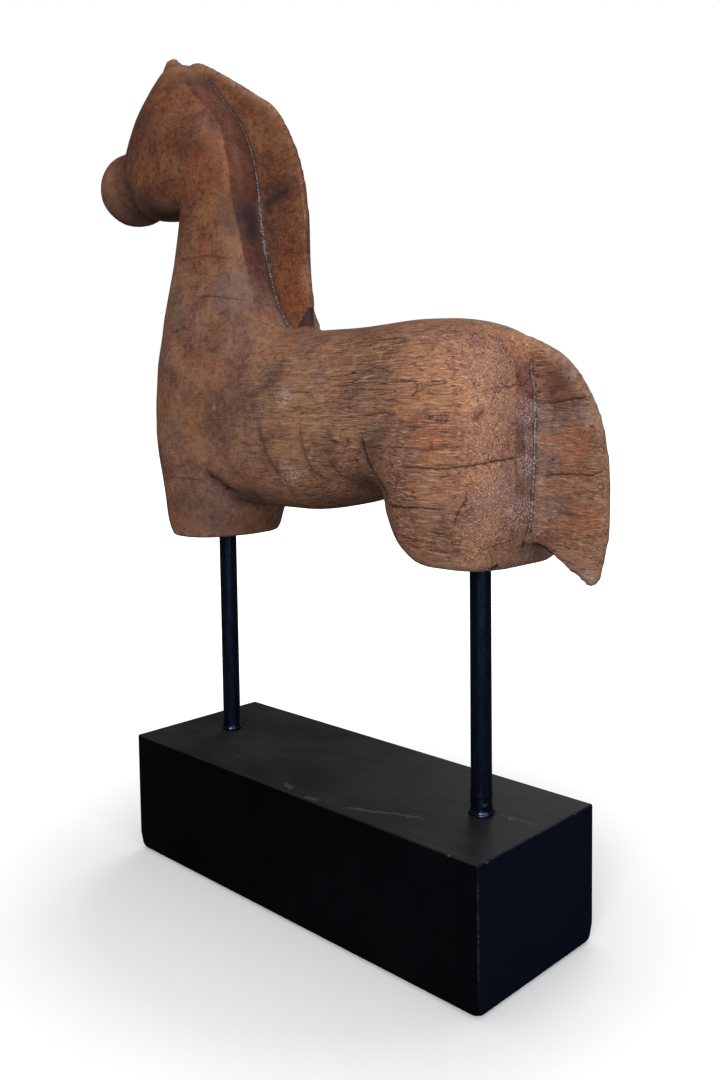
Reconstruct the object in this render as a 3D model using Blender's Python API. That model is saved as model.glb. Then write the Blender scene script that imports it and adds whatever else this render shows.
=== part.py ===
"""A carved wooden horse held over a black wooden block by two black steel rods.

Metres, +Z up. The origin is the middle of the block's underside. The horse
faces -X and its left side faces -Y. The horse is carved from one piece of
wood: head, neck, mane, body, tail and two leg stumps, each a pair of legs
left joined. Each rod is glued into a blind hole in a stump and another in
the block.
"""

import math

import bmesh
import bpy
import numpy as np
from mathutils import Matrix, Vector

# Block
BLOCK_LENGTH = 0.200
BLOCK_WIDTH = 0.072
BLOCK_HEIGHT = 0.0545
BLOCK_FOOT_ROUND = 0.003
BLOCK_TOP_ROUND = 0.0006

# Rods and their holes
ROD_DIAMETER = 0.008
ROD_SHOWN = 0.0945
ROD_IN_BLOCK = 0.026
ROD_IN_STUMP = 0.034
ROD_END_ROUND = 0.0006
GLUE_GAP = 0.0003
HOLE_OVERRUN = 0.010

# The hind stump is cut off a little higher than the front one
HIND_STUMP_RISE = 0.0012

# Horse: nose to tail, underside of the stumps to the top of the mane, side to side
HORSE_LENGTH = 0.286
HORSE_HEIGHT = 0.220
HORSE_THICKNESS = 0.060

# Places of the stumps' middles along the horse, as shares of its length from the nose
FORE_STUMP = 0.296
HIND_STUMP = 0.814

STUMP_UNDERSIDE = BLOCK_HEIGHT + ROD_SHOWN
RING_POINTS = 48
RINGS = 72
CARVING_CELL = HORSE_HEIGHT / 110
GOUGE_REACH = HORSE_THICKNESS / 5
GOUGE_SLOPE = 0.55
SAW_SIZE = (HORSE_LENGTH / 3, HORSE_THICKNESS * 1.2, HORSE_THICKNESS / 2)


def along(share):
    """X of a place given as a percentage of the horse's length from its nose."""
    middle = (FORE_STUMP + HIND_STUMP) / 2
    return (share / 100 - middle) * HORSE_LENGTH


def up(share):
    """Z of a place given as a percentage of the horse's height from its stumps."""
    return STUMP_UNDERSIDE + share / 100 * HORSE_HEIGHT


def out(share):
    """Distance from the horse's middle plane, as a percentage of half its thickness."""
    return share / 100 * HORSE_THICKNESS / 2


def read_curve(rows, count):
    """The given number of rows, read from a smooth curve that passes through these rows."""
    rows = np.array(rows, float)
    before = 2 * rows[0] - rows[1]
    after = 2 * rows[-1] - rows[-2]
    padded = np.vstack([before, rows, after])
    place = np.linspace(0, len(rows) - 1, count)
    first = np.minimum(place.astype(int), len(rows) - 2)
    t = (place - first)[:, None]
    a, b, c, d = (padded[first + k] for k in range(4))
    cubic = (3 * b - a - 3 * c + d) * t**3
    square = (2 * a - 5 * b + 4 * c - d) * t**2
    return (2 * b + (c - a) * t + square + cubic) / 2


def squared_arc(low, high, half, low_power, high_power):
    """A closed ring of (u, v) pairs: an oval from low to high, half wide to each side.

    A power of 2 gives a true oval. A larger one gives that end flatter with tighter corners.
    """
    middle = (low + high) / 2
    reach = (high - low) / 2
    ring = []
    for step in range(RING_POINTS):
        angle = 2 * math.pi * step / RING_POINTS
        c, s = math.cos(angle), math.sin(angle)
        power = 2 / (high_power if c > 0 else low_power)
        u = middle + reach * math.copysign(abs(c) ** power, c)
        v = half * math.copysign(abs(s) ** power, s)
        ring.append((u, v))
    return ring


def add_loft(bm, rings):
    """A closed skin over a row of rings that have the same number of points."""
    loops = [[bm.verts.new(point) for point in ring] for ring in rings]
    faces = [bm.faces.new(loops[0]), bm.faces.new(loops[-1])]
    for lower, upper in zip(loops, loops[1:]):
        count = len(lower)
        for i in range(count):
            j = (i + 1) % count
            faces.append(bm.faces.new((lower[i], lower[j], upper[j], upper[i])))
    bmesh.ops.recalc_face_normals(bm, faces=faces)
    return faces


def add_upright_form(bm, rows):
    """A form built up from level slices: rows of up, front, back, half thickness and the two powers."""
    rings = []
    for level, front, back, half, front_power, back_power in read_curve(rows, RINGS):
        plan = squared_arc(along(front), along(back), out(half), front_power, back_power)
        rings.append([(x, y, up(level)) for x, y in plan])
    add_loft(bm, rings)


def add_lying_form(bm, rows, under_power, top_power):
    """A form built up from slices across the horse: rows of along, underside, top and half thickness."""
    rings = []
    for place, under, top, half in read_curve(rows, RINGS):
        slice_ring = squared_arc(up(under), up(top), out(half), under_power, top_power)
        rings.append([(along(place), y, z) for z, y in slice_ring])
    add_loft(bm, rings)


def add_barrel(bm):
    """Chest, belly, back and rump, from slices across the horse."""
    rows = [
        (29, 11, 38.8, 88),
        (38, 7.9, 40.8, 97),
        (47, 7.1, 41.1, 101),
        (56, 7.3, 40.9, 101),
        (64, 9.7, 40.9, 99),
        (71, 12.9, 41.4, 97),
        (78, 14.5, 41.2, 96),
        (84, 14.5, 39.8, 90),
        (88.6, 15, 36.8, 72),
    ]
    add_lying_form(bm, rows, under_power=3.2, top_power=2.5)


def add_chest_and_neck(bm):
    """The front stump, chest and neck, from level slices."""
    rows = [
        (-1.5, 24.2, 34.8, 86, 2.6, 2.3),
        (0, 23.2, 36, 88, 2.6, 2.3),
        (3, 21.8, 37.5, 90, 2.6, 2.3),
        (7, 20.8, 39, 91, 2.6, 2.3),
        (12.5, 19.7, 42, 94, 2.6, 2.3),
        (18.5, 18, 48, 97, 2.6, 2.3),
        (25.5, 17.3, 54, 98, 2.6, 2.3),
        (33.5, 18, 54, 97, 2.6, 2.4),
        (38.5, 18.9, 50, 94, 2.6, 3),
        (43.5, 19.9, 46.4, 89, 2.6, 3.6),
        (48.5, 21, 44.4, 84, 2.6, 4.2),
        (54.3, 22.3, 43, 79, 2.6, 4.6),
        (62.2, 24.1, 41.6, 75, 2.6, 4.6),
        (71.8, 25.6, 40.8, 73, 2.6, 4.6),
        (76.8, 26.4, 39.8, 72, 2.6, 4.4),
        (81, 26.5, 37.6, 70, 2.6, 4.2),
        (86, 26, 33.8, 63, 2.6, 4),
    ]
    add_upright_form(bm, rows)


def add_haunch(bm):
    """The hindquarters and the hind stump, from level slices."""
    rows = [
        (-1, 77.5, 87.6, 84, 2.6, 3.4),
        (0.6, 75.3, 88.6, 88, 2.6, 3.6),
        (3, 71.7, 89.5, 91, 2.6, 4),
        (6.5, 70.1, 90.2, 94, 2.6, 4.4),
        (12, 69, 90.6, 98, 2.7, 4.6),
        (19.5, 68.4, 90.8, 100, 2.7, 4.6),
        (25.5, 69.2, 90.8, 99, 2.7, 4.4),
        (30.5, 71.6, 90.4, 91, 2.7, 4),
        (34.5, 75, 89, 76, 2.6, 3.4),
        (38.2, 79, 86.5, 50, 2.6, 3),
    ]
    add_upright_form(bm, rows)


def add_head(bm):
    """Cheeks, jaw and forehead, from level slices."""
    rows = [
        (67.7, 14, 34, 36, 2.4, 3),
        (69.1, 11.2, 35.5, 53, 2.4, 3),
        (71.8, 9, 37, 64, 2.4, 3.4),
        (75.8, 7.6, 38.5, 71, 2.4, 4),
        (79.8, 7.3, 38.6, 73, 2.4, 4.2),
        (83.2, 8.1, 37, 72, 2.4, 4.2),
        (87.6, 10.5, 33.8, 68, 2.4, 4),
        (91.6, 13.7, 31, 62, 2.4, 3.6),
        (95.3, 16.9, 28, 53, 2.4, 3.4),
        (98.2, 19.8, 25.6, 43, 2.4, 3),
    ]
    add_upright_form(bm, rows)


def add_muzzle(bm):
    """The round knob at the end of the head."""
    radius = out(62)
    centre = Vector((along(6.5), 0, up(76.2)))
    ball = bmesh.ops.create_uvsphere(bm, u_segments=32, v_segments=20, radius=radius)
    bmesh.ops.translate(bm, vec=centre, verts=ball["verts"])


def add_fin(bm, rows, count):
    """A thin upright fin on the middle plane.

    Rows run along the fin: the root's along and up, its half thickness, then the
    same for the outer edge.
    """
    rings = []
    for root_x, root_z, root_half, edge_x, edge_z, edge_half in read_curve(rows, count):
        root = (along(root_x), up(root_z))
        edge = (along(edge_x), up(edge_z))
        rings.append(
            [
                (root[0], out(root_half), root[1]),
                (root[0], -out(root_half), root[1]),
                (edge[0], -out(edge_half), edge[1]),
                (edge[0], out(edge_half), edge[1]),
            ]
        )
    add_loft(bm, rings)


def mane_mesh(bm):
    """The mane, from its peak between the ears down to the withers."""
    rows = [
        (24, 90, 22, 21.8, 96.1, 9),
        (26, 89, 22, 23.9, 99.2, 9),
        (28.5, 87, 23, 26.5, 98.2, 8),
        (31, 84, 23, 32.5, 93.9, 7),
        (33, 79, 23, 39.2, 88.6, 6),
        (34.5, 74, 23, 43.9, 84.2, 6),
        (36.5, 68, 23, 48.4, 74.2, 6),
        (37, 60, 23, 50.1, 63.8, 6.5),
        (37, 52, 23, 50.2, 54.8, 7),
        (37, 44, 23, 50.7, 46.5, 8),
        (36, 37, 23, 51, 38.5, 9),
    ]
    add_fin(bm, rows, 34)


def tail_mesh(bm):
    """The tail, from the top of the rump down to its free tip."""
    rows = [
        (79, 31, 23, 82, 39.9, 14),
        (81, 28, 23, 88.9, 37.6, 10),
        (82, 24, 23, 94.1, 34, 8),
        (83, 20, 23, 97.3, 28.4, 7),
        (84, 16, 23, 99.2, 21.6, 6),
        (85, 12.5, 23, 99.8, 14.8, 6),
        (86, 9, 23, 99.7, 7.1, 6),
        (88, 6.1, 22, 99.1, 3.2, 6),
        (93, 3.1, 16, 98.5, 0.6, 6),
        (96.3, 0.2, 10, 97.5, -1, 6),
    ]
    add_fin(bm, rows, 34)


def ears_mesh(bm):
    """Two short blunt ears, from level slices that grow smaller to their tips."""
    rows = [
        (88, 14.4, 28, 12),
        (93, 16.8, 27, 11),
        (96.8, 18.9, 25.2, 8.5),
        (100, 20.6, 22.9, 5),
    ]
    for middle in (out(-29), out(29)):
        rings = []
        for level, front, back, half in read_curve(rows, 9):
            plan = squared_arc(along(front), along(back), out(half), 2.6, 2.6)
            rings.append([(x, y + middle, up(level)) for x, y in plan])
        add_loft(bm, rings)


def new_object(name, bm, material=None):
    """An object from a finished bmesh, in the scene's own collection."""
    mesh = bpy.data.meshes.new(name)
    bm.to_mesh(mesh)
    bm.free()
    item = bpy.data.objects.new(name, mesh)
    bpy.context.scene.collection.objects.link(item)
    if material:
        mesh.materials.append(material)
    return item


def new_helper(name, bm):
    """An object that only shapes another one, and is no piece of its own."""
    item = new_object(name, bm)
    item.hide_render = True
    item.display_type = "WIRE"
    return item


def new_material(name, colour, roughness, metallic):
    """A plain Principled material."""
    material = bpy.data.materials.new(name)
    material.use_nodes = True
    shader = material.node_tree.nodes["Principled BSDF"]
    shader.inputs["Base Color"].default_value = (*colour, 1)
    shader.inputs["Roughness"].default_value = roughness
    shader.inputs["Metallic"].default_value = metallic
    return material


def join_or_cut(item, helper, operation):
    """A Boolean that stays on its object."""
    step = item.modifiers.new(helper.name, "BOOLEAN")
    step.operation = operation
    step.solver = "EXACT"
    step.object = helper


def round_edges(item, width, segments):
    """A rounded edge wherever two faces meet at a real corner."""
    step = item.modifiers.new("round", "BEVEL")
    step.width = width
    step.segments = segments
    step.limit_method = "ANGLE"


def stumps():
    """Each rod's name, with the X of its stump and the height of that stump's underside."""
    return {
        "front_rod": (along(FORE_STUMP * 100), STUMP_UNDERSIDE),
        "rear_rod": (along(HIND_STUMP * 100), STUMP_UNDERSIDE + HIND_STUMP_RISE),
    }


def saw_helper(name, x, underside):
    """A slab that trims a stump to a flat underside."""
    bm = bmesh.new()
    bmesh.ops.create_cube(bm, size=1)
    bmesh.ops.scale(bm, vec=SAW_SIZE, verts=bm.verts)
    bmesh.ops.translate(bm, vec=(x, 0, underside - SAW_SIZE[2] / 2), verts=bm.verts)
    return new_helper(name, bm)


def add_gouge(bm, side, rows):
    """A V-shaped cut run over one side of the horse.

    Rows run along the cut: along, up and how far out its bottom lies.
    """
    path = [Vector((along(a), side * out(deep), up(level))) for a, level, deep in read_curve(rows, 14)]
    outward = Vector((0, side, 0)) * GOUGE_REACH
    rings = []
    for i, bottom in enumerate(path):
        run = path[min(i + 1, len(path) - 1)] - path[max(i - 1, 0)]
        run.y = 0
        spread = run.normalized().cross(outward) * GOUGE_SLOPE
        rings.append([bottom, bottom + outward + spread, bottom + outward - spread])
    add_loft(bm, rings)


def gouges_mesh(bm):
    """The cuts that part the front stump and the thigh from the belly, on both sides."""
    shoulder = [
        (35.4, 15.4, 98),
        (36.4, 14.3, 88),
        (37.8, 12.6, 78),
        (39.8, 10.8, 69),
        (41.8, 9.5, 61),
        (43.8, 8.6, 51),
        (46, 7.9, 42),
    ]
    thigh = [
        (70.1, 22.5, 100),
        (70.1, 20, 89),
        (70.3, 17, 80),
        (71, 14, 72),
        (71.8, 12.3, 64),
        (72.3, 11.3, 56),
    ]
    for side in (-1, 1):
        add_gouge(bm, side, shoulder)
        add_gouge(bm, side, thigh)


def hole_helper(name, x, low, high):
    """A cutter for a rod's hole, which clears the rod by the glue gap."""
    bm = bmesh.new()
    radius = ROD_DIAMETER / 2 + GLUE_GAP
    place = Matrix.Translation((x, 0, (low + high) / 2))
    bmesh.ops.create_cone(
        bm,
        cap_ends=True,
        segments=32,
        radius1=radius,
        radius2=radius,
        depth=high - low,
        matrix=place,
    )
    return new_helper(name, bm)


def carving_helper(name, build):
    """A helper from one of the functions that build the ears, mane, tail or gouges."""
    bm = bmesh.new()
    build(bm)
    return new_helper(name, bm)


def make_horse(material):
    """The carving: rounded blocks melted together, then the crisp mane, tail and ears."""
    bm = bmesh.new()
    add_barrel(bm)
    add_chest_and_neck(bm)
    add_haunch(bm)
    add_head(bm)
    add_muzzle(bm)
    horse = new_object("horse", bm, material)

    melt = horse.modifiers.new("melt", "REMESH")
    melt.mode = "VOXEL"
    melt.voxel_size = CARVING_CELL
    soften = horse.modifiers.new("soften", "SMOOTH")
    soften.factor = 0.5
    soften.iterations = 16
    thin = horse.modifiers.new("thin", "DECIMATE")
    thin.ratio = 0.105
    thin.use_symmetry = True
    thin.symmetry_axis = "Y"

    for name, (x, underside) in stumps().items():
        join_or_cut(horse, saw_helper(f"{name}_stump_saw", x, underside), "DIFFERENCE")
    join_or_cut(horse, carving_helper("gouges", gouges_mesh), "DIFFERENCE")
    join_or_cut(horse, carving_helper("ears", ears_mesh), "UNION")
    join_or_cut(horse, carving_helper("mane", mane_mesh), "UNION")
    join_or_cut(horse, carving_helper("tail", tail_mesh), "UNION")
    for name, (x, underside) in stumps().items():
        top = underside + ROD_IN_STUMP + GLUE_GAP
        cutter = hole_helper(f"{name}_stump_hole", x, underside - HOLE_OVERRUN, top)
        join_or_cut(horse, cutter, "DIFFERENCE")
    return horse


def make_rod(name, x, underside, material):
    """A straight round rod, standing in the block and reaching into a stump."""
    low = BLOCK_HEIGHT - ROD_IN_BLOCK
    high = underside + ROD_IN_STUMP
    bm = bmesh.new()
    bmesh.ops.create_cone(
        bm,
        cap_ends=True,
        segments=32,
        radius1=ROD_DIAMETER / 2,
        radius2=ROD_DIAMETER / 2,
        depth=high - low,
    )
    rod = new_object(name, bm, material)
    rod.location = (x, 0, (low + high) / 2)
    round_edges(rod, ROD_END_ROUND, 2)
    return rod


def make_block(material):
    """The block, with a crisp top and softer foot edges, drilled for the rods."""
    bm = bmesh.new()
    bmesh.ops.create_cube(bm, size=1)
    bmesh.ops.scale(bm, vec=(BLOCK_LENGTH, BLOCK_WIDTH, BLOCK_HEIGHT), verts=bm.verts)
    bmesh.ops.translate(bm, vec=(0, 0, BLOCK_HEIGHT / 2), verts=bm.verts)
    low_edges = [e for e in bm.edges if min(v.co.z for v in e.verts) < BLOCK_HEIGHT / 4]
    foot = [e for e in low_edges if max(v.co.z for v in e.verts) < BLOCK_HEIGHT / 4]
    bmesh.ops.bevel(
        bm, geom=foot, offset=BLOCK_FOOT_ROUND, segments=4, profile=0.5, affect="EDGES"
    )
    block = new_object("block", bm, material)
    round_edges(block, BLOCK_TOP_ROUND, 2)
    for name, (x, _) in stumps().items():
        low = BLOCK_HEIGHT - ROD_IN_BLOCK - GLUE_GAP
        cutter = hole_helper(f"{name}_block_hole", x, low, BLOCK_HEIGHT + HOLE_OVERRUN)
        join_or_cut(block, cutter, "DIFFERENCE")
    return block


def main():
    for item in list(bpy.data.objects):
        bpy.data.objects.remove(item)
    wood = new_material("weathered_wood", (0.19, 0.09, 0.045), 0.65, 0.0)
    steel = new_material("black_painted_steel", (0.01, 0.011, 0.014), 0.35, 0.6)
    paint = new_material("black_painted_wood", (0.012, 0.012, 0.014), 0.55, 0.0)
    horse = make_horse(wood)
    block = make_block(paint)
    rods = [make_rod(name, *place, steel) for name, place in stumps().items()]
    for item in [horse, block, *rods]:
        item.data.shade_smooth()
        item.data.set_sharp_from_angle(angle=math.radians(40))


main()
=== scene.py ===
"""A carved wooden horse on two black rods over a black wooden block, dressed over its CAD frame.

Metres, +Z up. The horse faces -X and its left side faces -Y, towards the camera.
"""

import math
from collections import namedtuple

import bmesh
import bpy
import numpy as np
from mathutils import Matrix, Vector
from mathutils.bvhtree import BVHTree


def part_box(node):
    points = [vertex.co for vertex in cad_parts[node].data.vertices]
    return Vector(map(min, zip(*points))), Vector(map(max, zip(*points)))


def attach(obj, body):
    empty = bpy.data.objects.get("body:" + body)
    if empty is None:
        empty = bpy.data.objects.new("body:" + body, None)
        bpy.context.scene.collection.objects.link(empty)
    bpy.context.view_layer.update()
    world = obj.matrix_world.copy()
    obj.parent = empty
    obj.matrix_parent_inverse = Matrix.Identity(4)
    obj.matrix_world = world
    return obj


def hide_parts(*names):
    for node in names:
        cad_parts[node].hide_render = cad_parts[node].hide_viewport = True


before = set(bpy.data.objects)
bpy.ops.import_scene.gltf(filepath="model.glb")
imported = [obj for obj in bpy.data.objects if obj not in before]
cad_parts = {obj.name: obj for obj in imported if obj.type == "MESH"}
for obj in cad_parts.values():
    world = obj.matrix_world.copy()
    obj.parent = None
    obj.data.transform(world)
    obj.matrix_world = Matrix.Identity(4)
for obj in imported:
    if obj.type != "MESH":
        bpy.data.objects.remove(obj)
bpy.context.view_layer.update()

# The horse is one carving in a dense brown hardwood: head, neck, mane, body, tail and two leg
# stumps. It was rubbed smooth, then scored along the mane and tail with a chisel, and has since
# dried, cracked, chipped and gathered pale dust in its cuts. Its grain runs from nose to tail.
# How finely the carving is divided into faces: the levels, and how much of their cube it fills
CARVING_DEPTH = 8
CARVING_SCALE = 0.66
# How often it is rubbed down and then evened out, and how far each part is rubbed, 1 for fully
RUBBING_PASSES = 20
EVENING_PASSES = 16
FIN_RUBBING = 0.42
EAR_RUBBING = 0.2
SOLE_RUBBING = 0.2
CORNER_RUBBING = 0.25
# Where the thin mane and tail, the ears and the stumps' soles begin, in metres
FIN_HALF = 0.0085
MANE_FOOT = 0.239
TAIL_START = 0.1035
TAIL_ARCH_X, TAIL_ARCH_Z = 0.086, 0.229
EAR_X, EAR_Z = -0.072, 0.3515
SOLE = 0.1512
# How far the tail's rim and tip are set back out after the rubbing, in metres
RIM_OUT = 0.0010
TIP_DOWN = 0.0013
# How uneven the carved skin is and how deep the chip at the mane's foot goes, in mm
UNEVENNESS = 0.10
CHIP_DEPTH = 0.5

# Where the mane leaves the neck and where the tail leaves the rump, in mm: x, y, z
MANE_ROOT = [
    (-77, -7, 358), (-70, -7, 351), (-59, -7, 341), (-52, -7, 331), (-45, -7, 319), (-40, -7, 303),
    (-38, -7, 289), (-37, -7, 275), (-33, -7, 262), (-27, -7, 248), (-20, -7, 243),
]
TAIL_ROOT = [
    (101, -5, 224), (102, -6, 214), (102.5, -6, 203), (102.5, -6, 191), (102, -6, 182),
    (101, -6.5, 172), (99, -7, 160),
]
# The corner between the neck's side and its flat back, and the mane's outer rim
NECK_CORNER = [
    (-82, -14, 357), (-71, -16, 345), (-62, -15, 338), (-54, -15, 329), (-48, -17, 319),
    (-44, -18, 298), (-41, -16, 283), (-39, -16, 274), (-36, -16, 266), (-33, -15, 257),
    (-30, -17, 248),
]
MANE_RIM = [
    (-31, -2, 331), (-27, -2, 325), (-24, -2, 319), (-19, -2, 309), (-17, -2, 301), (-16, -2, 293),
    (-15, -2, 284), (-15, -2, 276), (-15, -2, 268),
]
TAIL_RIM = [
    (124, -2, 199), (126, -2, 189), (127, -2, 179), (127, -2, 169), (126, -2, 161), (124, -2, 154),
]
# The corner between the haunch's side and its flat back
HAUNCH_CORNER = [
    (97, -8, 224), (100, -13, 212), (101, -14.5, 205), (101, -14.5, 197), (100, -14.5, 192),
    (100, -14, 186), (100, -14, 175), (99, -15, 165), (96, -16, 158),
]
SHOULDER_CUT = [
    (-55, -28, 181), (-52, -26, 177.5), (-47.5, -24, 173.8), (-42.5, -21, 170.8), (-37, -18, 168.3),
    (-30, -13, 166.5),
]
THIGH_CUT = [
    (41, -30, 199), (42, -29, 192), (42.5, -26, 186), (44, -23, 180), (47, -20, 175),
    (49, -14, 174),
]


def mirrored(path):
    """The same path on the horse's right side."""
    return [(x, -y, z) for x, y, z in path]


# Each cut's kind and its path in mm
LEFT_CUTS = [
    ("root line", MANE_ROOT),
    ("root line", TAIL_ROOT),
    ("hair score", [
        (98.5, -10, 221), (100, -9, 208), (101, -9.5, 195), (100.5, -9, 184), (99.5, -10, 173),
        (98, -10, 163),
    ]),
    ("rubbed edge", MANE_RIM),
    ("rubbed edge", TAIL_RIM),
    ("crease", SHOULDER_CUT),
    ("crease", THIGH_CUT),
    ("chisel", [
        (-14, -31, 204), (-14, -31, 197), (-12, -31, 192), (-9, -30, 186), (-4, -29, 180),
        (1, -27, 175),
    ]),
    ("chisel", [
        (9, -31, 204), (10, -31, 194), (12, -30, 188), (14, -29, 183), (18, -27, 180),
        (27, -24, 177),
    ]),
    ("chisel", [(23, -29, 188), (27, -27, 182), (33, -23, 177)]),
    ("curl", [
        (-34, -19, 249), (-30, -16, 249.5), (-26, -11, 247), (-21, -8, 244), (-14, -6, 241.5),
    ]),
    ("curl", [(-33, -20, 247), (-30, -18, 244), (-25, -13, 242), (-18, -9, 241)]),
    ("curl", [(-24, -9, 249), (-21, -8, 245), (-17, -7, 242)]),
    ("crack", [
        (60, -29.5, 186), (69, -30, 186), (80, -30, 186), (88, -29, 187), (95, -27, 188),
        (99, -22, 189), (101, -12, 190), (102, -6, 192),
    ]),
    ("crack", [(101, -5, 208), (107, -4, 208), (114, -3, 209), (121, -2, 210)]),
    ("crack", [(103, -5, 183), (111, -4, 184), (118, -3, 184), (122, -2, 184), (127, -2, 186)]),
    ("crack", [(51, -26, 172), (60, -28, 171.5), (70, -29, 172), (82, -29, 172)]),
    ("hairline", [(91, -25, 158), (96, -21, 160), (99, -12, 162)]),
    ("hairline", [(67, -29, 212), (70, -29, 213), (75, -28.5, 215), (80, -27.5, 215)]),
    ("hairline", [(-82, -27, 176), (-75, -28, 176.3), (-68, -28, 176), (-55, -27, 175.5)]),
    ("hairline", [(-78, -23, 274), (-66, -24, 273), (-56, -24, 273), (-40, -20, 270)]),
    ("hairline", [(-60, -25, 256), (-42, -24, 254), (-33, -18, 252)]),
    ("hairline", [(44, -30, 204), (52, -30, 205), (60, -30, 204)]),
    ("hairline", [(96, -20, 213), (99, -13, 214), (101, -6, 215)]),
    ("hairline", [(50, -27, 192), (60, -30, 193), (72, -30, 192.5), (84, -30, 193)]),
    ("hairline", [(56, -28, 161), (66, -29, 160), (78, -28, 160)]),
    ("hairline", [(-28, -31, 193), (-20, -31, 192), (-12, -31, 192.5)]),
    ("scratch", [(92.3, -27.4, 202.2), (93.5, -26.8, 203.8), (95, -26, 206)]),
    ("scratch", [(90, -28, 179), (89, -28, 175), (86, -28, 171), (84, -28, 166)]),
    ("scratch", [(-79, -26, 241), (-75, -27, 241.5), (-72, -27.5, 242)]),
    ("scratch", [(-70, -27.5, 242.5), (-67, -28, 243)]),
    ("gouge", [(93.5, -17.5, 153), (94, -17, 150.5)]),
    ("gouge", [(91.5, -18.5, 151.6), (94.5, -17, 150.6)]),
    ("knot", [
        (61, -29, 216.5), (66, -29, 216.5), (68.5, -29, 215), (68.5, -29, 212.5), (66, -29.5, 211),
    ]),
    ("soft fold", [(-38.5, -7.5, 293.5), (-35, -6, 295), (-29, -5, 297.5), (-22, -4, 300)]),
    ("chip edge", [
        (-9.5, -3, 254.5), (-12, -3.5, 251.5), (-14.5, -4, 248.5), (-17, -4.5, 245.5),
        (-19, -5, 243), (-19.5, -5.5, 241),
    ]),
    ("crease", [(98.5, -8, 161), (101, -7, 157), (104, -6, 153.5), (106, -5, 151.5)]),
    ("facet edge", NECK_CORNER),
    ("facet edge", HAUNCH_CORNER),
]
RIGHT_CUTS = [
    ("root line", mirrored(MANE_ROOT)),
    ("root line", mirrored(TAIL_ROOT)),
    ("rubbed edge", mirrored(MANE_RIM)),
    ("rubbed edge", mirrored(TAIL_RIM)),
    ("facet edge", mirrored(NECK_CORNER)),
    ("facet edge", mirrored(HAUNCH_CORNER)),
    ("crease", mirrored(SHOULDER_CUT)),
    ("crease", mirrored(THIGH_CUT)),
    ("chisel", [(-8, 31, 202), (-8, 31, 194), (-5, 30, 187), (0, 29, 181)]),
    ("chisel", [(14, 31, 199), (15, 30, 190), (19, 28, 183), (25, 25, 178)]),
    ("crack", [(52, 28, 181), (64, 30, 180), (78, 30, 181), (90, 29, 182)]),
    ("crack", [(104, 6, 196), (112, 4.5, 197), (119, 4, 196)]),
    ("crack", [(-76, 28, 205), (-60, 29, 206), (-48, 30, 205)]),
    ("hairline", [(-74, 24, 262), (-58, 25, 263), (-42, 22, 261)]),
    ("hairline", [(-20, 31, 222), (0, 31, 221), (22, 30, 223)]),
    ("gouge", [(30, 30, 206), (33, 30, 208), (36, 30, 209)]),
]
# Each kind's half width, depth, height of the lip beside it, sideways wander, and how far its dust
# and its soft painted shade reach, all in mm, then how much grime, dust and painted shade it holds
CutKind = namedtuple("CutKind", "half depth lip wander dust_reach shade_reach grime dust shade")
CUT_KINDS = {
    "root line": CutKind(0.8, 0.55, 0.0, 0.08, 0.22, 3.5, 0.35, 0.8, 0.6),
    "hair score": CutKind(0.4, 0.25, 0.05, 0.15, 0.22, 2.0, 0.1, 0.55, 0.15),
    "rubbed edge": CutKind(0.4, 0.0, 0.0, 0.12, 0.28, 1.0, 0.0, 0.42, 0.0),
    # A crease's dark line and soft dark band are painted shade along its fold
    "crease": CutKind(0.9, 0.7, 0.3, 0.08, 0.5, 5.0, 0.7, 0.0, 0.6),
    "chisel": CutKind(1.2, 0.32, 0.14, 0.12, 0.5, 3.0, 0.22, 0.0, 0.32),
    "curl": CutKind(0.4, 0.25, 0.05, 0.15, 0.28, 1.2, 0.1, 0.5, 0.15),
    "crack": CutKind(0.19, 0.8, 0.03, 0.09, 0.4, 1.2, 0.95, 0.0, 0.3),
    "hairline": CutKind(0.15, 0.3, 0.0, 0.18, 0.4, 1.0, 0.75, 0.0, 0.25),
    "scratch": CutKind(0.35, 0.3, 0.06, 0.25, 0.4, 1.4, 0.6, 0.0, 0.3),
    "gouge": CutKind(1.0, 1.1, 0.12, 0.15, 0.4, 1.8, 1.0, 0.0, 0.6),
    "knot": CutKind(0.25, 0.3, 0.1, 0.1, 0.4, 1.4, 0.7, 0.0, 0.3),
    "soft fold": CutKind(1.6, 0.35, 0.1, 0.1, 0.4, 5.5, 0.12, 0.0, 0.8),
    "chip edge": CutKind(0.4, 0.2, 0.15, 0.3, 0.4, 1.0, 0.2, 0.25, 0.1),
    "facet edge": CutKind(0.5, 0.0, 0.0, 0.1, 0.3, 1.0, 0.0, 0.0, 0.0),
}
# How far a root line moves into its hollow, -1, or a facet's edge onto its ridge, 1, in metres
SETTLING = {"root line": (0.0035, -1), "facet edge": (0.003, 1)}
# These run out at full depth, while the others fade over a longer end
FULL_ENDED = ("root line", "knot", "rubbed edge")
# Cuts with a smaller half width than this get the finest faces, this far to each side, in metres
NARROW_HALF = 0.0005
NARROW_REACH = 0.0004
# How many points a cut's run has for each point of its path
RUN_POINTS = 6
# How thick the dust in the mane's root is at each height in mm
MANE_DUST = ((244, 262, 274, 302, 308, 350), (0.8, 0.85, 1.1, 1.1, 0.85, 0.8))
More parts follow.
